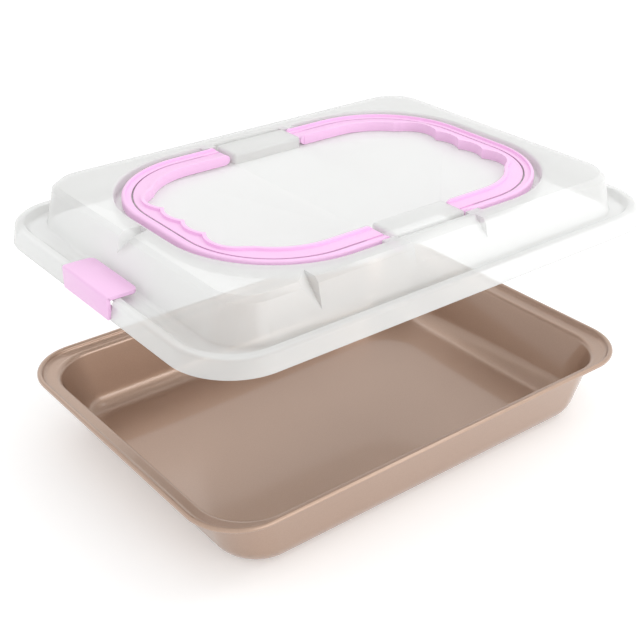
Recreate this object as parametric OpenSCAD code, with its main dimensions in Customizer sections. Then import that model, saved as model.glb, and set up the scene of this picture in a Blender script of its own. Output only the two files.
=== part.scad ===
// Rectangular cake pan with a clear domed lid, two folding carry handles and two snap latches.
// The floor of the pan lies on z = 0, its long side runs along x and the lid is drawn lifted off.

/* [Pan] */
// Length between the crests of the two end rims
crest_l = 366; // [320:1:420]
// Width between the crests of the two side rims
crest_w = 257; // [235:1:300]
// Corner radius of the rim's crest
crest_r = 37; // [33:1:42]
// Height of the pan from its floor to the crest
pan_h = 52; // [40:1:80]
// Thickness of the steel sheet
sheet = 0.8; // [0.6:0.1:1.2]
// Diameter of the rolled bead along the rim
bead_d = 3.8; // [3.2:0.1:4.4]
// Depth of the ledge below the crest
ledge_drop = 4.5; // [4:0.1:6]
// Distance from the crest to the ledge's inner edge at the ends
ledge_end = 12; // [9:0.5:14]
// Distance from the crest to the ledge's inner edge along the sides
ledge_side = 8; // [7:0.5:10]
// How far an end wall leans in from the ledge to the floor
lean_end = 16.5; // [8:0.5:22]
// How far a side wall leans in from the ledge to the floor
lean_side = 9; // [5:0.5:15]
// Corner radius of the floor
floor_corner = 28; // [22:1:36]
// Fillet between the walls and the floor
floor_fillet = 13; // [6:0.5:18]

/* [Lid] */
// Thickness of the clear plastic
lid_t = 1.6; // [1.2:0.1:2]
// Height that the lid is lifted off the pan
lift = 114; // [60:1:160]
// Clearance between the closed lid and the crest of the pan
seat_gap = 0.3; // [0.2:0.05:0.6]
// Clearance between the skirt and the bead
skirt_gap = 0.6; // [0.4:0.1:1.2]
// How far the skirt hangs below the crest
skirt_drop = 10.2; // [8:0.2:14]
// How far the skirt flares out from its top to its hem
skirt_flare = 1.8; // [0:0.2:3]
// Height of the dome's top above the crest
dome_h = 25.8; // [22:0.2:40]
// Distance from the crest to the foot of the dome at the ends
dome_end = 17.5; // [17:0.5:22]
// Distance from the crest to the foot of the dome along the sides
dome_side = 8.2; // [8:0.2:10]
// How far the dome's walls lean in
dome_lean = 6.5; // [3:0.5:9]
// Width of the dome's rim beside the tray at the ends
rim_end = 16; // [13:0.5:26]
// Width of the dome's rim beside the tray along the sides
rim_side = 12.8; // [11.2:0.2:20]
// Corner radius of the dome at its foot
dome_corner = 30; // [25:1:36]
// Depth of the tray that the handles lie in
tray_depth = 8; // [7.6:0.1:12]
// Play between the handles and the tray's wall
tray_play = 5; // [3:0.5:8]
// Width of the two notches in the dome's rim
notch_w = 16; // [10:1:22]
// Depth of the notch at the left end
end_notch_depth = 14; // [10:1:18]
// Depth of the notch at the front
side_notch_depth = 18.5; // [12:0.5:22]
// Distance of the front notch from the left end of the dome
notch_in = 48; // [40:1:58]
// Height of the bevel beside the front bridge
bevel_h = 13; // [8:0.5:18]

/* [Handles] */
// Outer corner radius of the handles
grip_corner = 72; // [50:1:76]
// Width of a grip bar between its edges
bar_w = 20; // [18:0.5:24]
// Thickness of a handle
bar_t = 7; // [6:0.5:7.4]
// Spacing of the finger scallops
finger_pitch = 24; // [20:1:26]
// Depth of a finger scallop
finger_depth = 4; // [2:0.5:5]
// Width of the raised lips along a handle's two edges
lip_w = 2.4; // [1.6:0.2:3]
// Distance of the handles' pivots from the middle of the lid
pivot_x = 35; // [32:0.5:42]
// Diameter of a handle's pivot pin
pivot_d = 5; // [4:0.2:5.4]
// Play between a handle's end and the fixed bridge
bridge_play = 1.9; // [1.8:0.1:3]

/* [Latches] */
// Length of a latch along the end of the lid
latch_w = 55; // [40:1:80]
// Thickness of a latch's plates
latch_t = 2.2; // [1.8:0.1:2.6]
// Diameter of the latch's hinge rod
rod_d = 3; // [2.6:0.1:3.4]
// Distance from the crest to the hinge rod
rod_in = 12.6; // [12:0.1:13]
// How far the lip reaches under the bead
lip_reach = 1; // [0.4:0.1:1.6]
// Clearance around a latch
latch_gap = 0.4; // [0.3:0.05:0.8]

/* [Fits] */
// Radial clearance of a pin in its bore
pin_gap = 0.06; // [0.03:0.01:0.1]
// Clearance under the handles where they lie flat
rest_gap = 0.3; // [0.2:0.05:0.5]

/* [Hidden] */
$fn = 96;
corner_steps = 8;
curve_steps = 5;
overlap = 0.5;
pan_colour = [0.72, 0.60, 0.50];
clear_colour = [0.90, 0.93, 0.93, 0.45];
pink_colour = [0.95, 0.72, 0.92];

half_l = crest_l / 2;
half_w = crest_w / 2;
bead_r = bead_d / 2;
ledge_z = pan_h - ledge_drop;
ledge_corner = crest_r - 1;
ledge_round = 2.5;
ledge_bend = 0.92;
neck_in = 1.6;
neck_drop = 0.6;
flat_corner = floor_corner - 10;
fillet_share = floor_fillet / (ledge_z - sheet);

// Lid levels are heights above the pan's crest when the lid is shut
ridge_z = seat_gap + lid_t;
ridge_round = 3;
ridge_in = 0.6;
gutter_z = seat_gap + lid_t - ledge_drop;
gutter_in = bead_r + 4.1;
rim_bend = 0.87;
rim_round = 3.5;
tray_lip = 1.5;
tray_foot = 2;
tray_z = dome_h - tray_depth;
skirt_out = bead_r + skirt_gap + lid_t;
dome_a = half_l - dome_end - dome_lean;
dome_b = half_w - dome_side - dome_lean;
tray_a = dome_a - rim_end;
tray_b = dome_b - rim_side;
grip_a = tray_a - tray_play;
grip_b = tray_b - tray_play;
tray_corner = grip_corner + tray_play;
dome_top_corner = dome_corner - dome_lean;

// Places on the handles and the latches
handle_z = tray_z + rest_gap;
pivot_z = handle_z + bar_t / 2;
bridge_half = pivot_x - bar_t / 2 - bridge_play;
pivot_block_t = 4.2;
pivot_block_w = 11;
pivot_block_drop = 1;
pivot_bore_r = pivot_d / 2 + pin_gap;
pin_out = tray_b + lid_t + 4;
bevel_half = pivot_x - pivot_bore_r - lid_t - 0.8;
bevel_in = tray_b + 3.8;
rod_x = half_l - rod_in;
barrel_r = rod_d / 2 + 1.5;
rod_z = gutter_z + barrel_r + latch_gap;
clip_r = barrel_r - 0.2;
clip_w = 7;
clip_y = 15;
latch_face = skirt_out + skirt_flare + 0.9;
latch_round = 1.2;
lip_t = 1.8;
lip_drop = 0.45;
lip_z = -bead_d - lip_drop;
lip_x = half_l + bead_r - lip_reach;
lip_swing_r = norm([lip_x - rod_x, lip_z - rod_z]);

function mix(p, q, t) = p + (q - p) * t;
function bend(p, c, q, t) = mix(mix(p, c, t), mix(c, q, t), t);
function bends(p, c, q) = [for (i = [0:curve_steps]) bend(p, c, q, i / curve_steps)];

// One closed outline with round corners: a and b are its half sizes, k its corner radius
function outline(a, b, k, z) = [
    for (c = [0:3], i = [0:corner_steps])
        let (turn = 90 * (c + i / corner_steps),
            sx = (c == 0 || c == 3) ? 1 : -1,
            sy = c < 2 ? 1 : -1)
        [sx * (a - k) + k * cos(turn), sy * (b - k) + k * sin(turn), z]
];

// A stop is [distance in from the crest at the ends, the same at the sides, corner radius, height]
function stop_outline(s) = outline(half_l - s[0], half_w - s[1], s[2], s[3]);
// A stop that keeps the same distance from the crest all round
function even_stop(e, z) = [e, e, crest_r - e, z];

// Skins a list of stops that runs from the middle of the underside, round the edge, to the top
module shell(stops) {
    n = 4 * (corner_steps + 1);
    last = n * (len(stops) - 1);
    polyhedron(
        points = [for (s = stops) each stop_outline(s)],
        faces = concat(
            [[for (i = [0:n - 1]) i]],
            [for (k = [0:n:last - n], i = [0:n - 1]) [k + i, k + n + i, k + n + (i + 1) % n]],
            [for (k = [0:n:last - n], i = [0:n - 1]) [k + i, k + n + (i + 1) % n, k + (i + 1) % n]],
            [[for (i = [n - 1:-1:0]) last + i]]
        )
    );
}

// Stops along the pan's inner skin, from the ledge to the floor, moved out and down by t
function ledge_stop(t) = [ledge_end - t, ledge_side - t, ledge_corner + t, ledge_z - t];
function ledge_flat_stop(t) =
    [ledge_end - ledge_round, ledge_side - ledge_round, ledge_corner - 1, ledge_z - t];
function foot_stop(t) =
    [ledge_end + lean_end - t, ledge_side + lean_side - t, floor_corner + t, sheet - t];
function wall_stop(t, up) = mix(foot_stop(t), ledge_stop(t), up);
function floor_edge_stop(t) =
    [ledge_end + lean_end + floor_fillet, ledge_side + lean_side + floor_fillet, flat_corner, sheet - t];

function pan_stops() = concat(
    bends(floor_edge_stop(sheet), foot_stop(sheet), wall_stop(sheet, fillet_share)),
    bends(wall_stop(sheet, ledge_bend), ledge_stop(sheet), ledge_flat_stop(sheet)),
    [even_stop(bead_r + neck_in, ledge_z - sheet), even_stop(bead_r, pan_h - bead_d - neck_drop)],
    [for (turn = [-90:30:180]) even_stop(-bead_r * cos(turn), pan_h - bead_r + bead_r * sin(turn))],
    [even_stop(bead_r + neck_drop / 2, pan_h - bead_d + neck_drop), even_stop(bead_r + neck_in, ledge_z)],
    bends(ledge_flat_stop(0), ledge_stop(0), wall_stop(0, ledge_bend)),
    bends(wall_stop(0, fillet_share), foot_stop(0), floor_edge_stop(0))
);

module pan() {
    color(pan_colour) shell(pan_stops());
}

// Stops along the lid's outer skin, moved through its thickness and down by t for its inner skin
function gutter_stop(t) = even_stop(gutter_in - t / 2, gutter_z - t);
function dome_foot_stop(t) = [dome_end + t, dome_side + t, dome_corner - t, gutter_z - t];
function dome_rim_stop(t) =
    [dome_end + dome_lean + t, dome_side + dome_lean + t, dome_top_corner - t, dome_h - t];
function dome_stop(t, up) = mix(dome_foot_stop(t), dome_rim_stop(t), up);
function rim_flat_stop(t) = dome_rim_stop(t) + [rim_round, rim_round, 0, 0];
function tray_stop(t, in, z) =
    [half_l - tray_a + in - t, half_w - tray_b + in - t, tray_corner - in + t, z - t];
// The skirt and the ridge over the bead
function ridge_stops(e, z) =
    bends(even_stop(e, z - ridge_round), even_stop(e, z), even_stop(e + ridge_round, z));
function hem_stop(e, drop) =
    even_stop(e - skirt_flare * (drop + ridge_z - ridge_round) / skirt_drop, -drop);

// From the hem, up over the dome and down to the tray's floor
function lid_outer_stops() = concat(
    [hem_stop(-skirt_out, skirt_drop)],
    ridge_stops(-skirt_out, ridge_z),
    [even_stop(bead_r + ridge_in, ridge_z), gutter_stop(0), dome_foot_stop(0)],
    bends(dome_stop(0, rim_bend), dome_rim_stop(0), rim_flat_stop(0)),
    [tray_stop(0, -tray_lip, dome_h), tray_stop(0, -tray_lip / 5, dome_h - tray_lip / 4)],
    [tray_stop(0, 0, dome_h - tray_lip), tray_stop(0, tray_foot / 3, tray_z + tray_foot / 2)],
    [tray_stop(0, tray_foot, tray_z)]
);
function lid_inner_stops() = concat(
    [hem_stop(lid_t - skirt_out, skirt_drop + 1)],
    ridge_stops(lid_t - skirt_out, seat_gap),
    [even_stop(bead_r + ridge_in - lid_t / 2, seat_gap), gutter_stop(lid_t), dome_foot_stop(lid_t)],
    [dome_rim_stop(lid_t), rim_flat_stop(lid_t), tray_stop(lid_t, 0, dome_h)],
    [tray_stop(lid_t, tray_foot / 3, tray_z + lid_t), tray_stop(lid_t, tray_foot, tray_z)]
);

// Wedge cut through the rim: upright on one side, it runs out to the rim on the other.
// It stands at the wall's top edge with y pointing out. Its foot rises from depth on the wall's
// face to end_depth after the run inwards; grow widens it by the lid's thickness.
module wedge(depth, run, end_depth, grow) {
    outward = dome_lean + 1;
    inward = run + tray_depth / 2;
    above = 12;
    face_y = depth * dome_lean / (dome_h - gutter_z);
    rise = (depth - end_depth) / (run + face_y);
    foot = depth - rise * face_y;
    slope = notch_w / foot;
    drop = grow * sqrt(1 + rise * rise + 1 / (slope * slope));
    apex = [notch_w / 2 + grow, -foot - drop - grow / slope];
    top = above + rise * outward;
    multmatrix([[1, 0, 0, 0], [0, 1, 0, 0], [0, -rise, 1, 0]])
        translate([0, outward, 0])
            rotate([90, 0, 0])
                linear_extrude(outward + inward)
                    polygon([apex, [apex[0], top], [apex[0] - slope * (top - apex[1]), top]]);
}

// One notch at the middle of the left end and one at the front, which ends short of the tray
module rim_notches(grow) {
    translate([notch_in - dome_a, -dome_b, dome_h])
        mirror([0, 1, 0])
            wedge(side_notch_depth, rim_side, 0, grow);
    translate([-dome_a, 0, dome_h])
        rotate([0, 0, 90])
            wedge(end_notch_depth, rim_end, tray_depth, grow);
}

// Bevel along the middle of the front wall, beside the bridge
module wall_bevel(grow) {
    above = dome_h + 5;
    wall_y = half_w - dome_side - dome_lean * (1 - bevel_h / (dome_h - gutter_z));
    slope = bevel_h / (wall_y - bevel_in);
    out_y = wall_y + 3;
    translate([bevel_half + grow, 0, 0])
        rotate([90, 0, -90])
            linear_extrude(2 * (bevel_half + grow))
                polygon([
                    [bevel_in - grow, above],
                    [bevel_in - grow, dome_h - grow],
                    [out_y, dome_h - grow - slope * (out_y - bevel_in + grow)],
                    [out_y, above]
                ]);
}

// Fixed bridges between the handle ends, open from below
module bridge_box(inset) {
    y_in = grip_b - bar_w - 2;
    y_out = grip_b + 1;
    for (side = [0, 1])
        mirror([0, side, 0])
            translate([-bridge_half + inset, y_in + inset, tray_z - lid_t - inset])
                cube([2 * (bridge_half - inset), y_out - y_in - 2 * inset, tray_depth + lid_t]);
}

// Ears in the tray that carry the handles' pins
module pivot_blocks() {
    for (sx = [-1, 1], sy = [0, 1])
        mirror([0, sy, 0])
            translate([sx * pivot_x - pivot_block_w / 2, tray_b - pivot_block_t, tray_z - overlap])
                cube([pivot_block_w, pivot_block_t, tray_depth - pivot_block_drop + overlap]);
}

module pivot_bores() {
    for (sx = [-1, 1])
        translate([sx * pivot_x, 0, pivot_z])
            rotate([90, 0, 0])
                difference() {
                    cylinder(r = pivot_bore_r, h = 2 * (pin_out + 1), center = true);
                    cylinder(r = pivot_bore_r + 1, h = 2 * grip_b, center = true);
                }
}

// Two clips in each end gutter hold a latch's rod
module rod_clips() {
    for (sx = [-1, 1], sy = [-1, 1])
        translate([sx * rod_x, sy * clip_y, 0]) {
            translate([-clip_r, -clip_w / 2, gutter_z - overlap])
                cube([2 * clip_r, clip_w, rod_z - gutter_z + overlap]);
            translate([0, 0, rod_z])
                rotate([90, 0, 0])
                    cylinder(r = clip_r, h = clip_w, center = true);
        }
}

module rod_bores() {
    for (sx = [-1, 1])
        translate([sx * rod_x, 0, rod_z])
            rotate([90, 0, 0])
                cylinder(r = rod_d / 2 + pin_gap, h = 2 * clip_y + clip_w + 2, center = true);
}

// Windows in the skirt and the ridge, where the latches' lips swing past to hook under the bead
module latch_windows() {
    window_w = latch_w + 2 * latch_gap;
    window_t = 2 * latch_face + 4;
    window_h = skirt_drop + ridge_z + 2;
    for (sx = [-1, 1])
        difference() {
            translate([sx * (half_l + latch_face) - window_t / 2, -window_w / 2, -skirt_drop - 1])
                cube([window_t, window_w, window_h]);
            translate([sx * rod_x, 0, rod_z])
                rotate([90, 0, 0])
                    cylinder(r = lip_swing_r - latch_gap, h = window_w + 2, center = true);
        }
}

module lid() {
    color(clear_colour)
        translate([0, 0, pan_h + lift])
            difference() {
                union() {
                    difference() {
                        shell(lid_outer_stops());
                        rim_notches(0);
                        wall_bevel(0);
                    }
                    bridge_box(0);
                    pivot_blocks();
                    rod_clips();
                }
                difference() {
                    shell(lid_inner_stops());
                    rim_notches(lid_t);
                    wall_bevel(lid_t);
                }
                bridge_box(lid_t);
                pivot_bores();
                rod_bores();
                latch_windows();
            }
}

// A flat plate with round corners, a and b are its half sizes
module round_plate(a, b, k) {
    square([2 * a, 2 * (b - k)], center = true);
    square([2 * (a - k), 2 * b], center = true);
    for (sx = [-1, 1], sy = [-1, 1])
        translate([sx * (a - k), sy * (b - k)])
            circle(r = k);
}

// The band between two depths in from the handles' outer edge, on one side of the pivots
module grip_band(from, to, end_x) {
    difference() {
        round_plate(grip_a - from, grip_b - from, grip_corner - from);
        round_plate(grip_a - to, grip_b - to, grip_corner - to);
        translate([-end_x, -2 * grip_b])
            square([2 * grip_a, 4 * grip_b]);
    }
}

// Round cuts along the inner edge of the grip bar, widened by the given lip
module finger_scallops(lip) {
    chord = finger_pitch / 2;
    scallop_r = (chord * chord + finger_depth * finger_depth) / (2 * finger_depth);
    edge_x = grip_a - bar_w;
    for (k = [-1.5:1:1.5])
        translate([-edge_x - finger_depth + scallop_r, k * finger_pitch])
            circle(r = scallop_r + lip);
}

// The left handle, lying flat; its pins point out through the pivot blocks
module handle() {
    wall = 2.4;
    field_deep = 0.8;
    groove_in = 6.6;
    groove_w = 1.1;
    groove_deep = 0.5;
    top_z = handle_z + bar_t;
    hollow_end = pivot_x + 10;
    bar_mid = grip_b - bar_w / 2;
    bar_out = grip_b - 1;
    difference() {
        translate([0, 0, handle_z])
            linear_extrude(bar_t)
                difference() {
                    grip_band(0, bar_w, pivot_x);
                    finger_scallops(0);
                }
        translate([0, 0, top_z - field_deep])
            linear_extrude(field_deep + 1)
                difference() {
                    grip_band(lip_w, bar_w - lip_w, pivot_x - 1);
                    finger_scallops(lip_w);
                }
        translate([0, 0, top_z - field_deep - groove_deep])
            linear_extrude(field_deep + groove_deep)
                grip_band(groove_in, groove_in + groove_w, pivot_x - 1);
        translate([0, 0, handle_z - 1])
            linear_extrude(bar_t - wall + 1)
                grip_band(wall, bar_w - finger_depth - wall, hollow_end);
    }
    for (side = [-1, 1]) {
        translate([-pivot_x, side * bar_mid, pivot_z])
            rotate([90, 0, 0])
                cylinder(r = bar_t / 2, h = bar_w, center = true);
        translate([-pivot_x, side * (bar_out + pin_out) / 2, pivot_z])
            rotate([90, 0, 0])
                cylinder(r = pivot_d / 2, h = pin_out - bar_out, center = true);
    }
}

module handle_left() {
    color(pink_colour) translate([0, 0, pan_h + lift]) handle();
}

module handle_right() {
    color(pink_colour) translate([0, 0, pan_h + lift]) mirror([1, 0, 0]) handle();
}

// The right latch: a plate over the ridge, a plate down the skirt and a lip under the bead
module latch() {
    top_z = ridge_z + latch_gap + latch_t;
    face_x = half_l + latch_face;
    inner_x = face_x - latch_t;
    ridge_x = half_l - bead_r - 1.4;
    rib_z = lip_z - lip_t - 1.5;
    difference() {
        translate([0, latch_w / 2, 0])
            rotate([90, 0, 0])
                linear_extrude(latch_w) {
                    polygon([
                        [rod_x - 0.6, rod_z + barrel_r],
                        [ridge_x, top_z],
                        [face_x - latch_round, top_z],
                        [face_x, top_z - latch_round],
                        [face_x, -skirt_drop],
                        [inner_x, -skirt_drop],
                        [inner_x, rib_z],
                        [lip_x + 0.3, lip_z - lip_t],
                        [lip_x, lip_z],
                        [inner_x, lip_z],
                        [inner_x, top_z - latch_t],
                        [ridge_x, top_z - latch_t],
                        [rod_x + rod_d / 2, rod_z - 0.3],
                        [rod_x, rod_z]
                    ]);
                    translate([rod_x, rod_z])
                        circle(r = barrel_r);
                }
        for (sy = [-1, 1])
            translate([rod_x, sy * clip_y, rod_z])
                rotate([90, 0, 0])
                    cylinder(r = barrel_r + latch_gap, h = clip_w + 2 * latch_gap, center = true);
    }
    translate([rod_x, 0, rod_z])
        rotate([90, 0, 0])
            cylinder(r = rod_d / 2, h = latch_w - 2, center = true);
}

module latch_right() {
    color(pink_colour) translate([0, 0, pan_h + lift]) latch();
}

module latch_left() {
    color(pink_colour) translate([0, 0, pan_h + lift]) mirror([1, 0, 0]) latch();
}

pan();
lid();
handle_left();
handle_right();
latch_left();
latch_right();
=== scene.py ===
import math

import bpy
from mathutils import Matrix, Vector


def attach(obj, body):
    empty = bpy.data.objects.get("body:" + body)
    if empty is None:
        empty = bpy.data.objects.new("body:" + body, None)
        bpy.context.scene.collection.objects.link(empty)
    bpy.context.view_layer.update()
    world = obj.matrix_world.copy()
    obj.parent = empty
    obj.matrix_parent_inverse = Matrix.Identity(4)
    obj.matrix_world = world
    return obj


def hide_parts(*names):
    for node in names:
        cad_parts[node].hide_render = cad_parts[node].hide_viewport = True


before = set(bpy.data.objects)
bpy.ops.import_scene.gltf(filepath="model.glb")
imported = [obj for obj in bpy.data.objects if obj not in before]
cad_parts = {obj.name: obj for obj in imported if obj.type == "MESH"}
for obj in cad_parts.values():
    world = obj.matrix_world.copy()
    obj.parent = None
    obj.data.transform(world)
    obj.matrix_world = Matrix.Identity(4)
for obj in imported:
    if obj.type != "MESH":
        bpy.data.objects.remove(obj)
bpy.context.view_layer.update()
print("frame loaded")


# Sizes below are in millimetres, and every piece is turned to metres as it is built.
def m(value):
    return value / 1000


def activate(item):
    bpy.ops.object.select_all(action="DESELECT")
    item.select_set(True)
    bpy.context.view_layer.objects.active = item


def editMode(on=True):
    bpy.ops.object.mode_set(mode="EDIT" if on else "OBJECT")


def mix(first, second, share):
    return tuple(a + (b - a) * share for a, b in zip(first, second))


def bend(first, corner, last, steps):
    curve = []
    for i in range(steps + 1):
        t = i / steps
        curve.append(mix(mix(first, corner, t), mix(corner, last, t), t))
    return curve


# A stop is (half length, half width, corner radius, height) of one round-cornered outline.
def addOutline(stop, steps):
    halfLength, halfWidth, corner, height = (m(v) for v in stop)
    bpy.ops.mesh.primitive_plane_add(size=2, location=(0, 0, height))
    bpy.ops.transform.resize(value=(halfLength, halfWidth, 1), center_override=(0, 0, height))
    bpy.ops.mesh.bevel(offset=corner, segments=steps, affect="VERTICES")


def isOnOutline(point, stop):
    halfLength, halfWidth, corner, height = (m(v) for v in stop)
    across = abs(point.x) - (halfLength - corner)
    along = abs(point.y) - (halfWidth - corner)
    reach = math.hypot(max(across, 0), max(along, 0))
    near = 2e-6
    return abs(point.z - height) < near and abs(reach - corner) < near and min(across, along) > -near


# Needs edit mode
def turnNormalsOut():
    bpy.ops.mesh.select_all(action="SELECT")
    bpy.ops.mesh.normals_make_consistent(inside=False)


# Leaves the item in edit mode, with the points selected that answer to wanted
def selectVertices(item, wanted):
    editMode()
    bpy.ops.mesh.select_mode(type="VERT")
    bpy.ops.mesh.select_all(action="DESELECT")
    editMode(False)
    for vertex in item.data.vertices:
        vertex.select = wanted(vertex)
    editMode()


# Skins a row of outlines and fills the ends that are asked for. Each new outline is bridged while
# it is high above the one before and then moved down, as two loops in one plane would be twisted.
def skinOutlines(name, stops, steps, fillFirst, fillLast):
    bpy.ops.object.select_all(action="DESELECT")
    bpy.ops.mesh.primitive_plane_add(size=1)
    item = bpy.context.object
    item.name = item.data.name = name
    editMode()
    bpy.ops.mesh.delete(type="VERT")
    lift = 100
    before = None
    for stop in stops:
        raised = (*stop[:3], stop[3] + lift)
        addOutline(raised if before else stop, steps)
        bpy.ops.mesh.delete(type="ONLY_FACE")
        editMode(False)
        if before:
            selectVertices(item, lambda v: isOnOutline(v.co, before) or isOnOutline(v.co, raised))
            bpy.ops.mesh.bridge_edge_loops()
            editMode(False)
            selectVertices(item, lambda v: isOnOutline(v.co, raised))
            bpy.ops.transform.translate(value=(0, 0, -m(lift)))
        editMode()
        before = stop
    editMode(False)
    for stop, wanted in ((stops[0], fillFirst), (stops[-1], fillLast)):
        if wanted:
            selectVertices(item, lambda v: isOnOutline(v.co, stop))
            bpy.ops.mesh.edge_face_add()
            editMode(False)
    editMode()
    turnNormalsOut()
    editMode(False)
    return item


# Leaves the item in edit mode, with the edges selected whose two end points answer to wanted
def selectEdges(item, wanted):
    editMode()
    bpy.ops.mesh.select_mode(type="EDGE")
    bpy.ops.mesh.select_all(action="DESELECT")
    editMode(False)
    points = item.data.vertices
    for edge in item.data.edges:
        edge.select = wanted(points[edge.vertices[0]].co, points[edge.vertices[1]].co)
    editMode()


def addBlock(name, low, high):
    size = [m(h - l) for l, h in zip(low, high)]
    middle = [m(l + h) / 2 for l, h in zip(low, high)]
    bpy.ops.object.select_all(action="DESELECT")
    bpy.ops.mesh.primitive_cube_add(size=1, location=middle)
    item = bpy.context.object
    item.name = name
    item.scale = size
    settle(item)
    return item


def addPin(name, middle, radius, length, axis, sides=48):
    turn = {"X": (0, math.pi / 2, 0), "Y": (math.pi / 2, 0, 0), "Z": (0, 0, 0)}[axis]
    bpy.ops.object.select_all(action="DESELECT")
    bpy.ops.mesh.primitive_cylinder_add(
        vertices=sides, radius=m(radius), depth=m(length), location=[m(v) for v in middle], rotation=turn
    )
    item = bpy.context.object
    item.name = name
    settle(item)
    return item


# Puts an object's place, turn and scale into its mesh
def settle(item):
    activate(item)
    flipped = item.matrix_world.determinant() < 0
    bpy.ops.object.transform_apply(location=True, rotation=True, scale=True)
    if flipped:
        editMode()
        turnNormalsOut()
        editMode(False)


def mirrored(item, name, sides):
    activate(item)
    bpy.ops.object.duplicate()
    twin = bpy.context.object
    twin.name = twin.data.name = name
    twin.scale = sides
    settle(twin)
    return twin


def joined(items, name):
    bpy.ops.object.select_all(action="DESELECT")
    for item in items:
        item.select_set(True)
    bpy.context.view_layer.objects.active = items[0]
    if len(items) > 1:
        bpy.ops.object.join()
    items[0].name = items[0].data.name = name
    return items[0]


def applyAll(item):
    activate(item)
    for modifier in list(item.modifiers):
        bpy.ops.object.modifier_apply(modifier=modifier.name)


# Cuts tool out of item, or fuses it to item, and deletes the tool
def combine(item, tool, operation):
    activate(item)
    modifier = item.modifiers.new(operation.lower(), "BOOLEAN")
    modifier.operation = operation
    modifier.object = tool
    modifier.solver = "EXACT"
    applyAll(item)
    bpy.data.objects.remove(tool)
    return item


# Cuts away what lies past a plane, on the side that its normal points to, and closes the cut
def sliceOff(item, point, normal):
    activate(item)
    editMode()
    bpy.ops.mesh.select_all(action="SELECT")
    bpy.ops.mesh.bisect(
        plane_co=[m(v) for v in point], plane_no=normal, use_fill=True, clear_outer=True, threshold=1e-7
    )
    turnNormalsOut()
    editMode(False)


# Merges the stray points that cuts leave behind
def tidyMesh(item):
    distance = m(0.004)
    activate(item)
    editMode()
    bpy.ops.mesh.select_all(action="SELECT")
    bpy.ops.mesh.remove_doubles(threshold=distance)
    bpy.ops.mesh.dissolve_degenerate(threshold=distance)
    editMode(False)


def roundEdges(item, width, segments, angle):
    activate(item)
    modifier = item.modifiers.new("edges", "BEVEL")
    modifier.width = m(width)
    modifier.segments = segments
    modifier.limit_method = "ANGLE"
    modifier.angle_limit = math.radians(angle)
    modifier.use_clamp_overlap = True
    applyAll(item)


def shadeSmooth(item, angle):
    activate(item)
    bpy.ops.object.shade_smooth_by_angle(angle=math.radians(angle))


def paint(item, material):
    item.data.materials.clear()
    item.data.materials.append(material)


def hexColour(code):
    parts = [int(code[i : i + 2], 16) / 255 for i in (1, 3, 5)]
    return tuple(p / 12.92 if p <= 0.04045 else ((p + 0.055) / 1.055) ** 2.4 for p in parts) + (1,)


def addNode(tree, kind, settings=None, inputs=None, links=None):
    node = tree.nodes.new(kind)
    for name, value in (settings or {}).items():
        setattr(node, name, value)
    for name, value in (inputs or {}).items():
        node.inputs[name].default_value = value
    for name, source in (links or {}).items():
        tree.links.new(source, node.inputs[name])
    return node


def newMaterial(name):
    material = bpy.data.materials.new(name)
    material.use_nodes = True
    material.node_tree.nodes.clear()
    return material, material.node_tree


# Champagne non-stick coating on pressed carbon steel: sprayed pearl paint over smooth sheet.
# Satin, softly metallic, with a fine grain of mica flakes and the long shallow waves of a pressing.
coat = {
    "colour": "#b99d89",
    "shade": "#ad907d",
    "metallic": 0.74,
    "roughness": 0.38,
    "clearCoat": 0.09,  # roughness of the cured top coat
    "flake": 0.9,  # real flakes are near 0.05 mm, drawn coarser so that they show
    "wave": 70,  # long waves left by the press
}


def coatedSteel():
    material, tree = newMaterial("champagneCoatedSteel")
    place = addNode(tree, "ShaderNodeTexCoord").outputs["Object"]
    flakes = addNode(
        tree,
        "ShaderNodeTexNoise",
        inputs={"Scale": 1 / m(coat["flake"]), "Detail": 2, "Roughness": 0.6},
        links={"Vector": place},
    )
    waves = addNode(
        tree,
        "ShaderNodeTexNoise",
        inputs={"Scale": 1 / m(coat["wave"]), "Detail": 1},
        links={"Vector": place},
    )
    tint = addNode(
        tree,
        "ShaderNodeMixRGB",
        inputs={"Color1": hexColour(coat["colour"]), "Color2": hexColour(coat["shade"])},
        links={"Fac": flakes.outputs["Fac"]},
    )
    gloss = addNode(
        tree,
        "ShaderNodeMapRange",
        inputs={"To Min": coat["roughness"] - 0.03, "To Max": coat["roughness"] + 0.05},
        links={"Value": waves.outputs["Fac"]},
    )
    grain = addNode(
        tree,
        "ShaderNodeBump",
        inputs={"Strength": 0.05, "Distance": m(0.05)},
        links={"Height": flakes.outputs["Fac"]},
    )
    press = addNode(
        tree,
        "ShaderNodeBump",
        inputs={"Strength": 0.1, "Distance": m(0.8)},
        links={"Height": waves.outputs["Fac"], "Normal": grain.outputs["Normal"]},
    )
    shader = addNode(
        tree,
        "ShaderNodeBsdfPrincipled",
        inputs={"Metallic": coat["metallic"], "Coat Weight": 1, "Coat Roughness": coat["clearCoat"]},
        links={
            "Base Color": tint.outputs["Color"],
            "Roughness": gloss.outputs[0],
            "Normal": press.outputs["Normal"],
        },
    )
    addNode(tree, "ShaderNodeOutputMaterial", links={"Surface": shader.outputs[0]})
    return material


# Clear polypropylene, injection moulded: see-through with a milky haze, gloss with faint flow waves
clear = {
    "colour": "#eff0ef",
    "haze": (0.46, 0.82),  # share of each surface that scatters white, face on and edge on
    "roughness": 0.16,
    "flow": 45,  # waves of the melt in the mould
}


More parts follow.
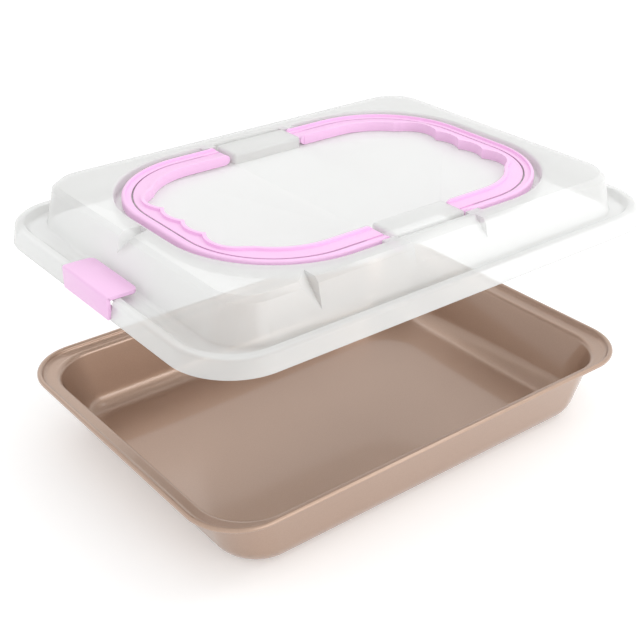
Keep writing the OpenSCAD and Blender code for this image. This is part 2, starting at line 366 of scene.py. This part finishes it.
def clearPlastic():
    material, tree = newMaterial("clearPolypropylene")
    place = addNode(tree, "ShaderNodeTexCoord").outputs["Object"]
    flow = addNode(
        tree,
        "ShaderNodeTexNoise",
        inputs={"Scale": 1 / m(clear["flow"]), "Detail": 2},
        links={"Vector": place},
    )
    gloss = addNode(
        tree,
        "ShaderNodeMapRange",
        inputs={"To Min": clear["roughness"] - 0.04, "To Max": clear["roughness"] + 0.06},
        links={"Value": flow.outputs["Fac"]},
    )
    ripple = addNode(
        tree,
        "ShaderNodeBump",
        inputs={"Strength": 0.08, "Distance": m(0.5)},
        links={"Height": flow.outputs["Fac"]},
    )
    slant = addNode(tree, "ShaderNodeLayerWeight", inputs={"Blend": 0.3})
    haze = addNode(
        tree,
        "ShaderNodeMapRange",
        inputs={"To Min": clear["haze"][0], "To Max": clear["haze"][1]},
        links={"Value": slant.outputs["Facing"]},
    )
    shader = addNode(
        tree,
        "ShaderNodeBsdfPrincipled",
        inputs={"Base Color": hexColour(clear["colour"]), "IOR": 1.49},
        links={
            "Roughness": gloss.outputs[0],
            "Normal": ripple.outputs["Normal"],
            "Alpha": haze.outputs[0],
        },
    )
    addNode(tree, "ShaderNodeOutputMaterial", links={"Surface": shader.outputs[0]})
    return material


# Pale orchid polypropylene, injection moulded: through-coloured, half gloss, very fine mould texture
pink = {
    "colour": "#fccff4",
    "shade": "#f9c8f1",
    "roughness": 0.34,
    "texture": 1.2,  # fine mould texture, drawn coarser than real
    "cloud": 30,  # slow change between the two colours
}


def pinkPlastic():
    material, tree = newMaterial("orchidPolypropylene")
    place = addNode(tree, "ShaderNodeTexCoord").outputs["Object"]
    grit = addNode(
        tree,
        "ShaderNodeTexNoise",
        inputs={"Scale": 1 / m(pink["texture"]), "Detail": 3},
        links={"Vector": place},
    )
    cloud = addNode(
        tree,
        "ShaderNodeTexNoise",
        inputs={"Scale": 1 / m(pink["cloud"]), "Detail": 1},
        links={"Vector": place},
    )
    tint = addNode(
        tree,
        "ShaderNodeMixRGB",
        inputs={"Color1": hexColour(pink["colour"]), "Color2": hexColour(pink["shade"])},
        links={"Fac": cloud.outputs["Fac"]},
    )
    gloss = addNode(
        tree,
        "ShaderNodeMapRange",
        inputs={"To Min": pink["roughness"] - 0.05, "To Max": pink["roughness"] + 0.06},
        links={"Value": grit.outputs["Fac"]},
    )
    ripple = addNode(
        tree,
        "ShaderNodeBump",
        inputs={"Strength": 0.05, "Distance": m(0.08)},
        links={"Height": grit.outputs["Fac"]},
    )
    shader = addNode(
        tree,
        "ShaderNodeBsdfPrincipled",
        inputs={"IOR": 1.49},
        links={
            "Base Color": tint.outputs["Color"],
            "Roughness": gloss.outputs[0],
            "Normal": ripple.outputs["Normal"],
        },
    )
    addNode(tree, "ShaderNodeOutputMaterial", links={"Surface": shader.outputs[0]})
    return material


steelFinish = coatedSteel()
clearFinish = clearPlastic()
pinkFinish = pinkPlastic()
print("materials made")

pan = {
    "halfLength": 183,  # to the crest of the rim
    "halfWidth": 128.5,
    "corner": 37,
    "height": 52,
    "sheet": 0.8,
    "bead": 1.9,  # radius of the rolled rim
    "ledgeDrop": 4.5,
    "ledge": (12, 8),  # at the ends and along the sides
    "ledgeRound": 2.5,  # run of the bend from the wall into the ledge
    "neck": 1.6,  # run of the bend from the ledge up to the bead
    "lean": (16.5, 9),
    "floorCorner": 28,
    "fillet": 13,
    "roll": 300,  # degrees that the rim is rolled through
    "rollSteps": 14,
    "cornerSteps": 18,
}


# The outline at a distance in from the crest, at the ends and along the sides
def panStop(inEnds, inSides, corner, height):
    return (pan["halfLength"] - inEnds, pan["halfWidth"] - inSides, corner, height)


def rimStop(distance, height):
    return panStop(distance, distance, pan["corner"] - distance, height)


# One sheet: floor, fillet, wall, ledge and neck, rolled outwards into the rim and given its thickness
def buildPan():
    ledgeHeight = pan["height"] - pan["ledgeDrop"]
    ends, sides = pan["ledge"]
    leanEnds, leanSides = pan["lean"]
    fillet, bead, around = pan["fillet"], pan["bead"], pan["ledgeRound"]
    footEnds, footSides = ends + leanEnds, sides + leanSides
    foot = panStop(footEnds, footSides, pan["floorCorner"], pan["sheet"])
    floorEdge = panStop(footEnds + fillet, footSides + fillet, pan["floorCorner"] - 10, pan["sheet"])
    shoulder = panStop(ends, sides, pan["corner"] - 1, ledgeHeight)
    ledgeFlat = panStop(ends - around, sides - around, pan["corner"] - 2, ledgeHeight)
    neckFoot = rimStop(bead + pan["neck"], ledgeHeight)
    neckTop = rimStop(bead + 0.25, pan["height"] - 2 * bead + 0.9)
    stops = bend(floorEdge, foot, mix(foot, shoulder, fillet / (ledgeHeight - pan["sheet"])), 9)
    stops += bend(mix(foot, shoulder, 0.93), shoulder, ledgeFlat, 5)
    stops += bend(mix(ledgeFlat, neckFoot, 0.7), neckFoot, neckTop, 3)
    for i in range(pan["rollSteps"] + 1):
        turn = math.pi - i * math.radians(pan["roll"]) / pan["rollSteps"]
        stops.append(rimStop(-bead * math.cos(turn), pan["height"] - bead + bead * math.sin(turn)))
    item = skinOutlines("panSheet", stops, pan["cornerSteps"], True, False)
    activate(item)
    floorFace = min(item.data.polygons, key=lambda f: abs(f.center.z - m(pan["sheet"])) - f.area)
    if floorFace.normal.z < 0:
        editMode()
        bpy.ops.mesh.select_all(action="SELECT")
        bpy.ops.mesh.flip_normals()
        editMode(False)
    modifier = item.modifiers.new("sheet", "SOLIDIFY")
    modifier.thickness = m(pan["sheet"])
    modifier.offset = -1
    modifier.use_even_offset = True
    applyAll(item)
    shadeSmooth(item, 50)
    paint(item, steelFinish)
    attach(item, "pan")
    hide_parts("pan")
    return item


buildPan()
print("pan built")

lid = {
    "raised": 166,  # height of the crest's level in the lid, as it is held above the pan
    "wall": 1.6,
    "seat": 0.3,  # above the crest when shut
    "skirtOut": 4.1,  # outer face of the skirt beyond the crest
    "skirtDrop": 10.2,
    "flare": 1.8,
    "ridgeRound": 3,
    "gutterIn": 6,
    "dome": (17.5, 8.2),  # foot of the dome in from the crest, at the ends and along the sides
    "domeLean": 6.5,
    "domeHeight": 25.8,
    "domeCorner": 30,
    "tray": (143, 101, 77),  # half length, half width and corner radius
    "trayDepth": 8,
    "facet": (0.89, 2.4),  # where the crisp facet along the dome's rim starts, and how far in it ends
    "cornerSteps": 18,
    "edgeRound": 0.4,
}
notch = {"width": 16, "endDepth": 14, "frontDepth": 18.5, "frontIn": 48}
bevel = {"height": 13, "half": 30.04, "in": 3.8}
bridge = {"half": 29.6, "inner": 74, "outer": 97, "round": 2.4}
ear = {"half": 5.5, "in": 4.2, "out": 0.6}
pivot = {"at": 35, "pin": 2.5, "gap": 0.06, "reach": 106.6, "height": 21.6}
rod = {"at": 170.4, "radius": 1.5, "height": 0.8, "barrel": 2.4}
clip = {"at": 15, "width": 7, "radius": 2.8, "foot": 3.9, "taper": 0.5}
latch = {
    "width": 55,
    "thick": 2.2,
    "gap": 0.4,
    "face": 6.8,  # outer face beyond the crest
    "round": 1.6,
    "behind": 1.8,  # how far the plate reaches in past the rod
    "cornerRound": 4.5,
    "bottomRound": 0.8,
    "edgeRound": 0.45,
    "barrelIn": 6,  # how far the barrels end in from the plate's ends
    "lip": 1.8,
    "tip": 0.9,  # the lip's tip beyond the crest
    "under": 0.45,  # and below the bead
}


def level(height):
    return lid["raised"] + height


# The stops of the lid's outer skin, or of its inner skin where through is the wall
def lidStops(through):
    out, seat, wall = lid["skirtOut"], lid["seat"], lid["wall"]
    ends, sides = lid["dome"]
    lean, dome, drop = lid["domeLean"], lid["domeHeight"], lid["skirtDrop"]
    bow = lid["ridgeRound"]
    floor = dome - lid["trayDepth"]

    def even(inset, height):
        a, b, k = pan["halfLength"], pan["halfWidth"], pan["corner"]
        return (a - inset, b - inset, k - inset, level(height - through))

    def domeStop(inset, height):
        a, b = pan["halfLength"] - ends, pan["halfWidth"] - sides
        inset += through
        corner = lid["domeCorner"] - min(inset, lean + through)
        return (a - inset, b - inset, corner, level(height - through))

    def tray(inset, height):
        a, b, k = lid["tray"]
        return (a - inset + through, b - inset + through, k - inset + through, level(height - through))

    ridge, gutter = seat + wall, seat + wall - pan["ledgeDrop"]
    hemDrop = drop + 1 if through else drop
    hem = even(through - out - lid["flare"] * (hemDrop + ridge - bow) / drop, through - hemDrop)
    top = even(through - out + bow, ridge)
    inner = even(pan["bead"] + 0.6 - through / 2, ridge)
    trough = even(lid["gutterIn"] - through / 2, gutter)
    foot, rim = domeStop(0, gutter), domeStop(lean, dome)
    lip = tray(0, dome)
    stops = [hem]
    stops += bend(even(through - out, ridge - bow), even(through - out, ridge), top, 6)
    stops += bend(mix(top, inner, 0.8), inner, mix(inner, trough, 0.3), 4)
    stops += bend(mix(inner, trough, 0.8), trough, mix(trough, foot, 0.35), 4)
    stops += bend(mix(trough, foot, 0.7), foot, mix(foot, rim, 0.06), 4)
    facetFoot, facetIn = lid["facet"]
    stops += [mix(foot, rim, facetFoot), domeStop(lean + facetIn, dome)]
    stops += bend(tray(-1.8, dome), lip, mix(lip, tray(0.8, floor), 0.24), 5)
    stops += bend(mix(lip, tray(0.8, floor), 0.76), tray(0.8, floor), tray(3, floor), 5)
    return stops


# A wedge that stands at the wall's top edge with y pointing out, upright on one side. Its foot
# rises from depth on the wall's face to endDepth after the run inwards, where a notch that is
# still deep ends at the tray's wall.
def addNotch(depth, run, endDepth, grow):
    wallHeight = lid["domeHeight"] + pan["ledgeDrop"] - lid["seat"] - lid["wall"]
    faceY = depth * lid["domeLean"] / wallHeight
    rise = (depth - endDepth) / (run + faceY)
    foot = depth - rise * faceY
    slope = notch["width"] / foot
    edge = notch["width"] / 2 + grow
    low = -foot - grow * math.hypot(1, rise, 1 / slope) - grow / slope
    near = lid["wall"] - grow - run if endDepth else -lid["trayDepth"] / 2 - run
    far = lid["domeLean"] + 1
    top = 12 + rise * far
    item = addBlock("notch", (edge - slope * (top - low), near, low), (edge, far, top))
    sliceOff(item, (edge, 0, low), (-1, 0, -slope))
    for y in (near, far):
        selectVertices(item, lambda v: abs(v.co.y - m(y)) < 1e-6)
        bpy.ops.transform.translate(value=(0, 0, -m(rise * y)))
        editMode(False)
    return item


# The notches in the left end and the front and the bevel beside the front bridge, grown by the
# wall for the inner skin
def lidCutters(grow):
    ends, sides = lid["dome"]
    dome, lean = lid["domeHeight"], lid["domeLean"]
    endWall = pan["halfLength"] - ends - lean
    sideWall = pan["halfWidth"] - sides - lean
    front = addNotch(notch["frontDepth"], sideWall - lid["tray"][1], 0, grow)
    front.scale.y = -1
    front.location = (m(notch["frontIn"] - endWall), m(-sideWall), m(level(dome)))
    end = addNotch(notch["endDepth"], endWall - lid["tray"][0], lid["trayDepth"], grow)
    end.rotation_euler.z = math.pi / 2
    end.location = (m(-endWall), 0, m(level(dome)))
    inner = lid["tray"][1] + bevel["in"] - grow
    outer = sideWall + lean * bevel["height"] / (dome + pan["ledgeDrop"] - lid["seat"] - lid["wall"])
    slope = bevel["height"] / (outer - inner - grow)
    half = bevel["half"] + grow
    cut = addBlock("bevel", (-half, -outer - 3, dome - 22), (half, -inner, dome + 5))
    sliceOff(cut, (0, -inner, dome - grow), (0, slope, -1))
    cut.location.z = m(lid["raised"])
    for item in (front, end, cut):
        settle(item)
    return joined([front, end, cut], "lidCutters")


# Both fixed bridges, with the inset for their hollow
def addBridges(inset):
    half, top = bridge["half"] - inset, lid["domeHeight"]
    low = top - lid["trayDepth"] - lid["wall"] - inset
    pair = []
    for sy in (1, -1):
        near, far = sorted((sy * (bridge["inner"] + inset), sy * (bridge["outer"] - inset)))
        item = addBlock("bridge", (-half, near, level(low)), (half, far, level(top - inset)))
        selectEdges(item, lambda first, last: max(first.z, last.z) > m(level(top - inset)) - 1e-6)
        bpy.ops.mesh.bevel(offset=m(bridge["round"] - inset), segments=4)
        editMode(False)
        pair.append(item)
    return joined(pair, "bridges")


# Ears for the handles' pins and clips for the latches' rods
def addEars():
    top, floor = lid["domeHeight"] - 1, lid["domeHeight"] - lid["trayDepth"] - 0.5
    trayWidth, half = lid["tray"][1], ear["half"]
    parts = []
    for sx in (1, -1):
        for sy in (1, -1):
            x = sx * pivot["at"]
            near, far = sorted((sy * (trayWidth - ear["in"]), sy * (trayWidth + ear["out"])))
            parts.append(addBlock("ear", (x - half, near, level(floor)), (x + half, far, level(top))))
            x, y = sx * rod["at"], sy * clip["at"]
            post = addPin("clip", (x, y, level(rod["height"])), clip["radius"], clip["width"], "Y")
            selectVertices(post, lambda v: v.co.z < m(level(rod["height"]) - 0.1))
            foot = (m(x), 0, m(level(rod["height"] - clip["foot"])))
            bpy.ops.transform.resize(value=(clip["taper"], 1, 0), center_override=foot)
            editMode(False)
            parts.append(post)
    return joined(parts, "ears")


# Bores for the handles' pins and the latches' rods
def addBores():
    parts = []
    rodLength = 2 * clip["at"] + clip["width"] + 2
    for sx in (1, -1):
        for sy in (1, -1):
            near, far = lid["tray"][1] - 6, pivot["reach"] + 1
            middle = (sx * pivot["at"], sy * (near + far) / 2, level(pivot["height"]))
            parts.append(addPin("bore", middle, pivot["pin"] + pivot["gap"], far - near, "Y"))
        middle = (sx * rod["at"], 0, level(rod["height"]))
        parts.append(addPin("bore", middle, rod["radius"] + pivot["gap"], rodLength, "Y"))
    return joined(parts, "bores")


# Windows in the ridge and the skirt where the latches swing, rounded about the rods
def addWindows():
    half = latch["width"] / 2 + latch["gap"]
    reach = pan["halfLength"] + 2 * latch["face"] + 2
    drop = rod["height"] + 2 * pan["bead"] + latch["under"]
    swing = math.hypot(pan["halfLength"] + latch["tip"] - rod["at"], drop) - latch["gap"]
    pair = []
    for sx in (1, -1):
        near, far = sorted((sx * (pan["halfLength"] - 2), sx * reach))
        low, high = level(-lid["skirtDrop"] - 1), level(lid["seat"] + lid["wall"] + 1)
        item = addBlock("window", (near, -half, low), (far, half, high))
        middle = (sx * rod["at"], 0, level(rod["height"]))
        combine(item, addPin("swing", middle, swing, 2 * half + 2, "Y", 128), "DIFFERENCE")
        pair.append(item)
    return joined(pair, "windows")


def buildLid():
    item = skinOutlines("lidShell", lidStops(0), lid["cornerSteps"], True, True)
    combine(item, lidCutters(0), "DIFFERENCE")
    combine(item, addBridges(0), "UNION")
    combine(item, addEars(), "UNION")
    inside = skinOutlines("lidInside", lidStops(lid["wall"]), lid["cornerSteps"], True, True)
    combine(inside, lidCutters(lid["wall"]), "DIFFERENCE")
    combine(item, inside, "DIFFERENCE")
    combine(item, addBridges(lid["wall"]), "DIFFERENCE")
    combine(item, addBores(), "DIFFERENCE")
    combine(item, addWindows(), "DIFFERENCE")
    paint(item, clearFinish)
    tidyMesh(item)
    roundEdges(item, lid["edgeRound"], 2, 30)
    shadeSmooth(item, 30)
    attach(item, "lid")
    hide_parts("lid")
    return item


buildLid()
print("lid built")

handle = {
    "half": (138, 96, 72),  # half length, half width and corner radius of the outer edge
    "bar": 20,
    "thick": 7,
    "level": 18.1,
    "fingerPitch": 24,
    "fingerDepth": 4,
    "ease": (99, 42.8, 16),  # place and radius of the cuts that run the row out into the curve
    "lip": 2.4,
    "wall": 2.4,  # round the hollow underneath
    "bow": 2,  # rounding of the outer edge
    "edgeRound": 0.4,
    "field": 1.7,  # depth of the field between the lips
    "groove": (6.4, 1.3, 0.8),  # distance in, width and depth below the field
    "cornerSteps": 32,
}


# A solid within the handle's outer edge, with that edge rounded by bow
def addPlate(inset, bottom, top, bow=0):
    def edge(inwards, height):
        return tuple(size - inwards for size in handle["half"]) + (level(height),)

    stops = [edge(inset, bottom), edge(inset, top)]
    if bow:
        stops = bend(edge(inset + bow, bottom), edge(inset, bottom), edge(inset, bottom + bow), 5)
        stops += bend(edge(inset, top - bow), edge(inset, top), edge(inset + bow, top), 5)
    return skinOutlines("plate", stops, handle["cornerSteps"], True, True)


# The finger scallops, grown by a lip, with an easing cut at each end of the row
def addScallops(lip, bottom, top):
    chord, deep = handle["fingerPitch"] / 2, handle["fingerDepth"]
    radius = (chord * chord + deep * deep) / (2 * deep)
    edge = handle["half"][0] - handle["bar"]
    pins = []
    for k in (-1.5, -0.5, 0.5, 1.5):
        middle = (-edge - deep + radius, k * handle["fingerPitch"], level((bottom + top) / 2))
        pins.append(addPin("scallop", middle, radius + lip, top - bottom, "Z", 120))
    inwards, aside, wide = handle["ease"]
    for sy in (1, -1):
        middle = (-inwards, sy * aside, level((bottom + top) / 2))
        pins.append(addPin("ease", middle, wide + lip, top - bottom, "Z", 120))
    whole = pins[0]
    for other in pins[1:]:
        combine(whole, other, "UNION")
    return whole


# A band that follows the bar, from near to far in from its outer edge
def addBand(near, far, bottom, top, scallopLip=None, bow=0):
    band = addPlate(near, bottom, top, bow)
    combine(band, addPlate(far, bottom - 1, top + 1), "DIFFERENCE")
    if scallopLip is not None:
        combine(band, addScallops(scallopLip, bottom - 1, top + 1), "DIFFERENCE")
    return band


# The left handle, lying flat in the tray
def buildHandle():
    low = handle["level"]
    top = low + handle["thick"]
    item = addBand(0, handle["bar"], low, top, 0, handle["bow"])
    wall = handle["wall"]
    hollow = addBand(wall, handle["bar"] - handle["fingerDepth"] - wall, low - 1, top - wall)
    sliceOff(hollow, (-pivot["at"] - 10, 0, 0), (1, 0, 0))
    combine(item, hollow, "DIFFERENCE")
    sliceOff(item, (0.2 - pivot["at"], 0, 0), (1, 0, 0))
    middle = handle["half"][1] - handle["bar"] / 2
    for sy in (1, -1):
        place = (-pivot["at"], sy * middle, level(pivot["height"]))
        knuckle = addPin("knuckle", place, handle["thick"] / 2 - 0.05, handle["bar"] - 0.8, "Y")
        combine(item, knuckle, "UNION")
        edge = handle["half"][1] - 1
        reach = (edge + pivot["reach"]) / 2
        place = (-pivot["at"], sy * reach, level(pivot["height"]))
        combine(item, addPin("pin", place, pivot["pin"], pivot["reach"] - edge, "Y"), "UNION")
    lip, field = handle["lip"], top - handle["field"]
    combine(item, addBand(lip, handle["bar"] - lip, field, top + 1, lip), "DIFFERENCE")
    away, width, deep = handle["groove"]
    combine(item, addBand(away, away + width, field - deep, top + 0.5), "DIFFERENCE")
    roundEdges(item, handle["edgeRound"], 3, 34)
    shadeSmooth(item, 40)
    paint(item, pinkFinish)
    return item


leftHandle = joined([buildHandle()], "handleLeftGrip")
rightHandle = mirrored(leftHandle, "handleRightGrip", (-1, 1, 1))
for item, node in ((leftHandle, "handle_left"), (rightHandle, "handle_right")):
    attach(item, node)
    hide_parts(node)
print("handles built")

# The right latch: a ribbon run over the ridge and down the skirt, then given its thickness
def buildLatch():
    crest, rodX, rodZ = pan["halfLength"], rod["at"], rod["height"]
    top = lid["seat"] + lid["wall"] + latch["gap"] + latch["thick"]
    face, half, bow = crest + latch["face"], latch["width"] / 2, latch["round"]
    path = [(rodX - latch["behind"], top - 0.3), (crest - 3.3, top)]
    for i in range(7):
        turn = math.pi / 2 * (1 - i / 6)
        path.append((face - bow + bow * math.cos(turn), top - bow + bow * math.sin(turn)))
    path.append((face, -lid["skirtDrop"]))
    bpy.ops.object.select_all(action="DESELECT")
    bpy.ops.mesh.primitive_plane_add(size=2)
    item = bpy.context.object
    selectVertices(item, lambda v: v.co.x > 0)
    bpy.ops.mesh.delete(type="VERT")
    bpy.ops.mesh.select_all(action="SELECT")
    bpy.ops.transform.resize(value=(1, m(half), 1), center_override=(0, 0, 0))
    bpy.ops.transform.translate(value=(1 + m(path[0][0]), 0, m(level(path[0][1]))))
    for here, after in zip(path, path[1:]):
        shift = (m(after[0] - here[0]), 0, m(after[1] - here[1]))
        bpy.ops.mesh.extrude_region_move(TRANSFORM_OT_translate={"value": shift})
    editMode(False)
    selectVertices(item, lambda v: v.co.x < m(path[0][0]) + 1e-6)
    bpy.ops.mesh.bevel(offset=m(latch["cornerRound"]), segments=6, affect="VERTICES")
    editMode(False)
    selectVertices(item, lambda v: v.co.z < m(level(-lid["skirtDrop"])) + 1e-6)
    bpy.ops.mesh.bevel(offset=m(latch["bottomRound"]), segments=3, affect="VERTICES")
    turnNormalsOut()
    editMode(False)
    up = sum(f.normal.z * f.area for f in item.data.polygons)
    modifier = item.modifiers.new("plate", "SOLIDIFY")
    modifier.thickness = m(latch["thick"])
    modifier.offset = -1 if up > 0 else 1
    modifier.use_even_offset = True
    applyAll(item)
    combine(item, addLip(face, half), "UNION")
    gap = clip["width"] / 2 + latch["gap"]
    end = half - latch["barrelIn"]
    inner, outer = clip["at"] - gap, clip["at"] + gap
    for low, high in ((-end, -outer), (-inner, inner), (outer, end)):
        barrel = addPin("barrel", (rodX, (low + high) / 2, level(rodZ)), rod["barrel"], high - low, "Y")
        combine(item, barrel, "UNION")
    for sy in (1, -1):
        middle = (rodX, sy * clip["at"], level(rodZ))
        combine(item, addPin("gap", middle, clip["radius"] + 0.2, 2 * gap, "Y"), "DIFFERENCE")
    combine(item, addPin("rod", (rodX, 0, level(rodZ)), rod["radius"], 2 * end - 1, "Y"), "UNION")
    tidyMesh(item)
    roundEdges(item, latch["edgeRound"], 3, 34)
    shadeSmooth(item, 40)
    paint(item, pinkFinish)
    return item


# The lip that hooks under the pan's bead, on a sloping rib
def addLip(face, half):
    tip, high = pan["halfLength"] + latch["tip"], -2 * pan["bead"] - latch["under"]
    low = high - latch["lip"] - 3
    lip = addBlock("lip", (tip, -half, level(low)), (face - 1, half, level(high)))
    sliceOff(lip, (tip, 0, level(high - latch["lip"])), (-1.5, 0, -3.4))
    return lip


rightLatch = joined([buildLatch()], "latchRightClip")
leftLatch = mirrored(rightLatch, "latchLeftClip", (-1, 1, 1))
for item, node in ((leftLatch, "latch_left"), (rightLatch, "latch_right")):
    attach(item, node)
    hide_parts(node)
print("latches built")

# In metres and watts. Each lamp has its place, what it points at, its size and its power.
studio = {
    "floor": 3,
    "floorGlow": 0.26,  # lifts the floor to white for the camera and keeps the shadow on it
    "world": 0.95,
}
lamps = {
    "keyLamp": ((0.8, -0.55, 1.15), (0, 0, 0.06), (0.45, 0.45), 2.3),
    "backLamp": ((0.25, 1.25, 1.2), (0, 0, 0.06), (0.9, 0.4), 0.9),
    "frontLamp": ((0.35, -1.7, 0.45), (0, 0, 0.08), (1.6, 0.5), 6.5),
}


# White where the camera looks at it, in mirrors and through the clear plastic
def whiteRays(tree):
    path = addNode(tree, "ShaderNodeLightPath")
    rays = path.outputs["Is Camera Ray"]
    for kind in ("Is Glossy Ray", "Is Transmission Ray"):
        both = {0: rays, 1: path.outputs[kind]}
        rays = addNode(tree, "ShaderNodeMath", {"operation": "MAXIMUM"}, links=both).outputs[0]
    return rays


# White floor: the camera sees it white, with the object's own shadow left on it
def buildStage():
    bpy.ops.object.select_all(action="DESELECT")
    bpy.ops.mesh.primitive_plane_add(size=studio["floor"] * 2, location=(0, 0, -0.0005))
    floor = bpy.context.object
    floor.name = "floor"
    settle(floor)
    material, tree = newMaterial("paperWhiteFloor")
    paper = addNode(tree, "ShaderNodeBsdfDiffuse", inputs={"Color": hexColour("#f4f4f4")})
    lift = addNode(
        tree,
        "ShaderNodeMath",
        {"operation": "MULTIPLY"},
        inputs={1: studio["floorGlow"]},
        links={0: whiteRays(tree)},
    )
    glow = addNode(
        tree,
        "ShaderNodeEmission",
        inputs={"Color": hexColour("#ffffff")},
        links={"Strength": lift.outputs[0]},
    )
    shader = addNode(tree, "ShaderNodeAddShader", links={0: paper.outputs[0], 1: glow.outputs[0]})
    addNode(tree, "ShaderNodeOutputMaterial", links={"Surface": shader.outputs[0]})
    floor.data.materials.append(material)


def addLamp(name, place, target, size, power):
    data = bpy.data.lights.new(name, "AREA")
    data.shape = "RECTANGLE"
    data.size, data.size_y = size
    data.energy = power
    lamp = bpy.data.objects.new(name, data)
    bpy.context.scene.collection.objects.link(lamp)
    lamp.location = place
    lamp.rotation_euler = (Vector(target) - Vector(place)).to_track_quat("-Z", "Y").to_euler()


def buildLight():
    for name, (place, target, size, power) in lamps.items():
        addLamp(name, place, target, size, power)
    world = bpy.data.worlds.new("studio")
    world.use_nodes = True
    tree = world.node_tree
    tree.nodes.clear()
    paper = hexColour("#ffffff")
    plain = addNode(tree, "ShaderNodeBackground", inputs={"Color": paper, "Strength": studio["world"]})
    white = addNode(tree, "ShaderNodeBackground", inputs={"Color": paper, "Strength": 1})
    sides = {0: whiteRays(tree), 1: plain.outputs[0], 2: white.outputs[0]}
    blend = addNode(tree, "ShaderNodeMixShader", links=sides)
    addNode(tree, "ShaderNodeOutputWorld", links={"Surface": blend.outputs[0]})
    bpy.context.scene.world = world


view = {
    "azimuth": -38.58,
    "elevation": 28.73,
    "roll": 0.41,
    "distance": 893.2,
    "target": (26.4, 45.95, 52),
    "sensor": 36,
    "focal": 36 * 1157.3 / 640,
}


def buildCamera():
    turn, lift, roll = (math.radians(view[name]) for name in ("azimuth", "elevation", "roll"))
    back = Vector((math.sin(turn) * math.cos(lift), -math.cos(turn) * math.cos(lift), math.sin(lift)))
    right = Vector((-back.y, back.x, 0)).normalized()
    up = back.cross(right)
    side = right * math.cos(roll) + up * math.sin(roll)
    data = bpy.data.cameras.new("camera")
    data.sensor_width = view["sensor"]
    data.lens = view["focal"]
    data.clip_start = 0.02
    camera = bpy.data.objects.new("camera", data)
    bpy.context.scene.collection.objects.link(camera)
    place = Vector([m(v) for v in view["target"]]) + back * m(view["distance"])
    axes = Matrix((side, back.cross(side), back)).transposed()
    camera.matrix_world = Matrix.Translation(place) @ axes.to_4x4()
    bpy.context.scene.camera = camera


buildStage()
buildLight()
buildCamera()
bpy.context.scene.view_settings.view_transform = "Standard"
print("stage, light and camera set")
